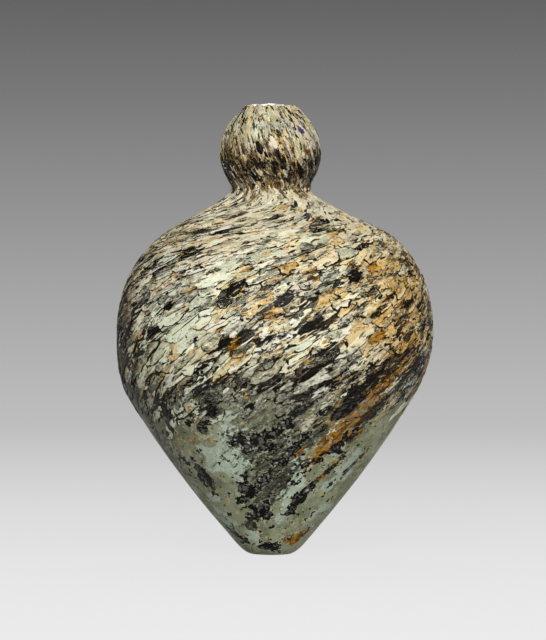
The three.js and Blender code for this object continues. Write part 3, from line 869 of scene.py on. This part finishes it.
def clear_of_nodes(chip):
    """Whether a chip's middle lies outside every one of the largest chips."""
    clear = np.ones(len(chip["turn"]), bool)
    for turn, arc, climb, length, width in node_places.values():
        radius = np.interp(arc, ARC, OUT)
        clear &= ellipse(chip["turn"] - turn, chip["arc"] - arc, radius, length / 2, width / 2, climb) > 0.7
    return clear


def chip_glass(name, contrast, roughness, relief):
    """The glass of one family of chips: the shared skin on its own tone, and dark where the rim turns down
    into a crevice, with a ragged edge: painted shade under the proud lower edge, over the dark gather
    there."""
    material, tree = paint(name)
    place = add(tree, "ShaderNodeTexCoord")["Object"]
    skin = skin_of(tree, attribute(tree, "tone", "Color"), contrast)
    torn = noise(place, 1100, 3, 0.6, 0.3) * 0.9 + noise(place, 420, 2, 0.5) * 1.1
    # Painted shade along each chip's lower edge, where it stands proud, with the dark gather under it.
    shadow = step(attribute(tree, "rim") + torn, 1.38, 1.46)
    tone = mixed(shadow, skin["Color"], (20, 16, 10))
    finish_with(tree, tone, skin["Roughness"] + roughness, skin["Height"], relief)
    return material


def scatter(name, chip, shades, corners, rings, material, extra):
    """One mesh of chips with what its skin reads: the flow, the fields of colour, the rim for the painted
    shade along the crevices, and each chip's shade and draw. The length of its name seeds its ragged edges."""
    points, quads, triangles, rim, turn, arc = laid(chip, corners, rings, len(name))
    each = points.shape[1]
    carried = fields(turn, arc)
    for key, more in extra.items():
        carried[key] = carried[key] + more
    carried = {key: value.ravel() for key, value in carried.items()}
    return piece(name, points.reshape(-1, 3), quads, triangles, material, {
        "flow": flow(turn, arc).reshape(-1, 3), "rim": rim.ravel(), "bare": np.repeat(chip["bare"], each),
        "draw": np.repeat(chip["draw"], each), "tone": np.repeat(shades, each, axis=0), **carried})


# Each family: its tones, its slot, and its finish's contrast, roughness and relief in metres.
FAMILIES = {
    "cream_chips": (["cream", "beige"], "wall", 0.9, 0.47, 0.0002),
    "green_chips": (["celadon", "lilac", "olive"], "mint", 0.9, 0.45, 0.0002),
    "amber_chips": (["amber"], "amber", 1.1, 0.42, 0.00022),
    "smoke_chips": (["smoke"], "smoke", 1.0, 0.38, 0.0002),
    "dark_chips": (["dark"], "dark", 1.1, 0.3, 0.00022),
}
GLASS = {slot: chip_glass(slot + "_glass", *finish) for tones, slot, *finish in FAMILIES.values()}
GLASS["amethyst"] = chip_glass("amethyst_glass", 0.9, 0.25, 0.0001)
CHIP_RINGS = [(1, 1, 0), (1, 0.5, 0.02), (0.7, 0, -0.02), (0.36, 0, -0.03)]


def only(chip, mask):
    """The chips that the mask picks."""
    return {key: value[mask] for key, value in chip.items()}


def lay(names_end, chip, tone, shades, corners, rings):
    """The chips, one mesh for each family."""
    for name, (tones, slot, *finish) in FAMILIES.items():
        mine = np.isin(tone, [TONE_NAMES.index(t) for t in tones])
        scatter(name + names_end, only(chip, mine), shades[mine], corners, rings, GLASS[slot], {})


tone, shades = tones_for(chips["turn"], chips["arc"], rng)
centre = on_wall(chips["turn"], chips["arc"], 0)
chips["bare"] = bareness(centre)
body = centre[:, 2] < WAIST
covered = 1 - chips["bare"]
large = smooth(3, 12, chips["length"] * chips["width"])
chips["lift"] = -0.06 - covered * (0.04 + 0.16 * large * rng.random(count) + 0.06 * rng.random(count))
chips["tilt"] = covered * np.where(body, rng.uniform(0.08, 0.2, count), rng.uniform(0.02, 0.1, count))
chips["bevel"] = rng.uniform(0.14, 0.42, count) * np.where(body, 1, 0.5)
# The painted shade along the crevices is widest on the body and narrows towards the neck.
shade_open_to = 1.35 - 0.7 * smooth(82, 102, chip_height)
chips["shade_gape"] = rng.uniform(0.5, 1.5, count) * (0.4 + 0.6 * covered) * shade_open_to
kept = (chips["bare"] < rng.uniform(0.1, 0.9, count)) & (chips["arc"] < TOP_ARC - 1.2)
kept &= clear_of_nodes(chips) & (body | (rng.random(count) < 0.88))
lay("", only(chips, kept), tone[kept], shades[kept], CHIP_CORNERS, CHIP_RINGS)

# Slivers: crumbs of the same glass that fell among the chips, drawn out thin, some of them black, amber
# or smoky. They lie nearly flat, and are fewest just under the waist.
SLIVERS = 4200
SLIVER_CORNERS = 8
SLIVER_RINGS = [(1, 1, 0), (0.8, 0.3, 0)]
LOWEST_SLIVER = 34
FEWEST_AT = 107
lowest = np.interp(LOWEST_SLIVER, UP, ARC)
spread_at = np.cumsum(np.gradient(ARC) * OUT * (ARC > lowest))
sliver_arc = np.interp(rng.random(SLIVERS) * spread_at[-1], spread_at, ARC)
slivers = {
    "turn": rng.uniform(0, 2 * np.pi, SLIVERS),
    "arc": sliver_arc,
    "climb": np.interp(sliver_arc, ARC, SLOPE) + np.radians(rng.normal(0, 9, SLIVERS)),
    "length": rng.uniform(1.4, 4.6, SLIVERS),
    "width": rng.uniform(0.35, 1.2, SLIVERS),
    "draw": rng.random(SLIVERS),
    "lift": np.full(SLIVERS, -0.03),
    "tilt": rng.uniform(0, 0.04, SLIVERS),
    "bevel": rng.uniform(0.05, 0.2, SLIVERS),
    "shade_gape": rng.uniform(0.2, 1.2, SLIVERS),
}
slivers["bare"] = bareness(on_wall(slivers["turn"], sliver_arc, 0))
sliver_tone, sliver_shade = tones_for(slivers["turn"], sliver_arc, rng)
chance = rng.random(SLIVERS)
for name, low, high in (("dark", 0, 0.36), ("amber", 0.36, 0.41), ("smoke", 0.41, 0.47)):
    picked = (chance >= low) & (chance < high)
    sliver_tone[picked] = TONE_NAMES.index(name)
    sliver_shade[picked] = shade_of(sliver_tone[picked], rng)
kept = (slivers["bare"] < rng.uniform(0, 0.8, SLIVERS)) & clear_of_nodes(slivers)
thinned = 0.7 * np.exp(-((np.interp(sliver_arc, ARC, UP) - FEWEST_AT) / 5) ** 2)
kept &= (sliver_arc < TOP_ARC - 1.5) & (rng.random(SLIVERS) > thinned)
lay("_fine", only(slivers, kept), sliver_tone[kept], sliver_shade[kept], SLIVER_CORNERS, SLIVER_RINGS)

# The largest chips: long flakes of the same glass, rolled in like the others. Each is laid over its own
# solid, and its outline has more corners than a small chip's.
FIELD_OF = {"dark": "black", "amber": "rust", "mint": "mint", "smoke": "smoke"}
TONE_OF = {"mint": "celadon"}
LARGE_CORNERS = 56
LARGE_RINGS = [(1, 1, 0), (1, 0.5, 0.05), (0.93, 0.25, 0), (0.75, 0, -0.02), (0.45, 0, -0.03)]
for node_name, (turn, arc, climb, length, width) in node_places.items():
    family = node_name.split("_")[0]
    flat = 1 - smooth(BARE_BELOW, CHIPS_ABOVE, np.interp(arc, ARC, UP))
    shape = {"turn": turn, "arc": arc, "climb": climb, "length": length, "width": width,
             "draw": rng.random(), "lift": -0.06, "tilt": 0.1 * (1 - flat), "bevel": 0.2,
             "shade_gape": 0.9 - 0.5 * flat, "bare": flat}
    shape = {key: np.array([value]) for key, value in shape.items()}
    shade = shade_of(np.array([TONE_NAMES.index(TONE_OF.get(family, family))]), rng)
    extra = {FIELD_OF[family]: 0.8} if family in FIELD_OF else {}
    made = scatter(node_name + "_skin", shape, shade, LARGE_CORNERS, LARGE_RINGS, GLASS[family],
                   extra)
    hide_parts(node_name)

# The studio: a wide pale bowl of matt card, floor and wall in one, that glows with a painted fade from
# grey above to white below, three soft lamps, and a camera. The lamps are plain boxes, which the camera
# doesn't see.
BOWL_RADIUS = 2200
BOWL_ROUND = 500
BOWL_TOP = 1500
BOWL_COLUMNS = 96
floor_run = np.linspace(0, BOWL_RADIUS - BOWL_ROUND, 12)[1:]
bend = np.linspace(0, np.pi / 2, 16)[1:]
bowl_out = np.concatenate([floor_run, BOWL_RADIUS - BOWL_ROUND + BOWL_ROUND * np.sin(bend), [BOWL_RADIUS]])
bowl_up = np.concatenate([0 * floor_run, BOWL_ROUND - BOWL_ROUND * np.cos(bend), [BOWL_TOP]])
bowl_turn = np.linspace(0, 2 * np.pi, BOWL_COLUMNS, endpoint=False)
bowl_points = np.stack([np.outer(bowl_out, np.cos(bowl_turn)), np.outer(bowl_out, np.sin(bowl_turn)),
                        np.outer(bowl_up, np.ones(BOWL_COLUMNS))], axis=-1).reshape(-1, 3)
bowl_points = np.concatenate([bowl_points, [[0, 0, 0]]])
bowl_quads = ring_quads(len(bowl_out), BOWL_COLUMNS)[:, ::-1]
bowl_floor = fan(len(bowl_points) - 1, np.arange(BOWL_COLUMNS), True)
bowl_mesh = bpy.data.meshes.new("studio_bowl")
bowl_mesh.from_pydata(bowl_points * MM, [], bowl_quads.tolist() + bowl_floor.tolist())
bowl_mesh.polygons.foreach_set("use_smooth", [True] * len(bowl_mesh.polygons))
bowl = put("studio_bowl", bowl_mesh)


def bowl_paint():
    """Matt card that glows for the camera and reflections at a painted grey, paler towards the front of the
    floor and darker up the wall, with the flask's shadow left in the floor's share of plain light."""
    material, tree = paint("studio_card")
    place = add(tree, "ShaderNodeTexCoord")["Object"]
    split_place = add(tree, "ShaderNodeSeparateXYZ", {"Vector": place})
    # Painted light on the card: the grey it glows at is a painted fall-off, paler at the front and darker
    # up the wall.
    pale = step(split_place["Y"], -0.6, 1.6, 0.937, 0.753)
    grey = (pale - (split_place["Z"] * 1.06).at_most(0.45)) ** 2.2
    ray = add(tree, "ShaderNodeLightPath")
    seen = ray["Is Camera Ray"].at_least(ray["Is Glossy Ray"].at_least(ray["Is Transmission Ray"]))
    card = add(tree, "ShaderNodeBsdfDiffuse", {"Color": colour(150, 150, 150)})
    painted_glow = add(tree, "ShaderNodeEmission", {"Color": grey})
    both = add(tree, "ShaderNodeMixShader", {0: seen * 0.92, 1: card["BSDF"], 2: painted_glow["Emission"]})
    add(tree, "ShaderNodeOutputMaterial", {"Surface": both["Shader"]})
    return material


bowl_mesh.materials.append(bowl_paint())

world = bpy.data.worlds.new("studio_air")
bpy.context.scene.world = world
world.use_nodes = True
air = world.node_tree.nodes["Background"].inputs
air["Color"].default_value = (1, 1, 1, 1)
air["Strength"].default_value = 0.09


def soft_box(name, place, aim, size, power):
    """A square lamp that the camera can't see, aimed at a point. Its places and size are in metres."""
    lamp = bpy.data.lights.new(name, "AREA")
    lamp.shape = "SQUARE"
    lamp.size = size
    lamp.energy = power
    made = put(name, lamp)
    made.location = place
    away = Vector(place) - Vector(aim)
    made.rotation_euler = away.to_track_quat("Z", "Y").to_euler()
    made.visible_camera = False
    return made


# The back lamp is for the far side, and its glint on the shoulders is left out.
MIDDLE = (0, 0, 0.075)
soft_box("key_lamp", (-0.08, -1.03, 0.6), MIDDLE, 0.5, 23)
soft_box("fill_lamp", (0.8, -0.8, 0.35), MIDDLE, 0.5, 7.5)
back_lamp = soft_box("back_lamp", (-0.1, 1.35, 1.2), MIDDLE, 0.6, 17)
back_lamp.visible_glossy = False

# The camera looks level at the flask along +Y, through a long lens. Its place is in metres.
CAMERA_AT = (0.00075, -1.2, 0.0703)
PHOTO_HEIGHT = 640
MM_PER_PIXEL = 0.3
LONG_SIDE = 36
camera_data = bpy.data.cameras.new("camera")
camera_data.sensor_width = LONG_SIDE
camera_data.lens = LONG_SIDE * -CAMERA_AT[1] / (PHOTO_HEIGHT * MM_PER_PIXEL * MM)
camera = put("camera", camera_data)
camera.location = CAMERA_AT
camera.rotation_euler = (np.pi / 2, 0, 0)
bpy.context.scene.camera = camera
bpy.context.scene.view_settings.view_transform = "Standard"
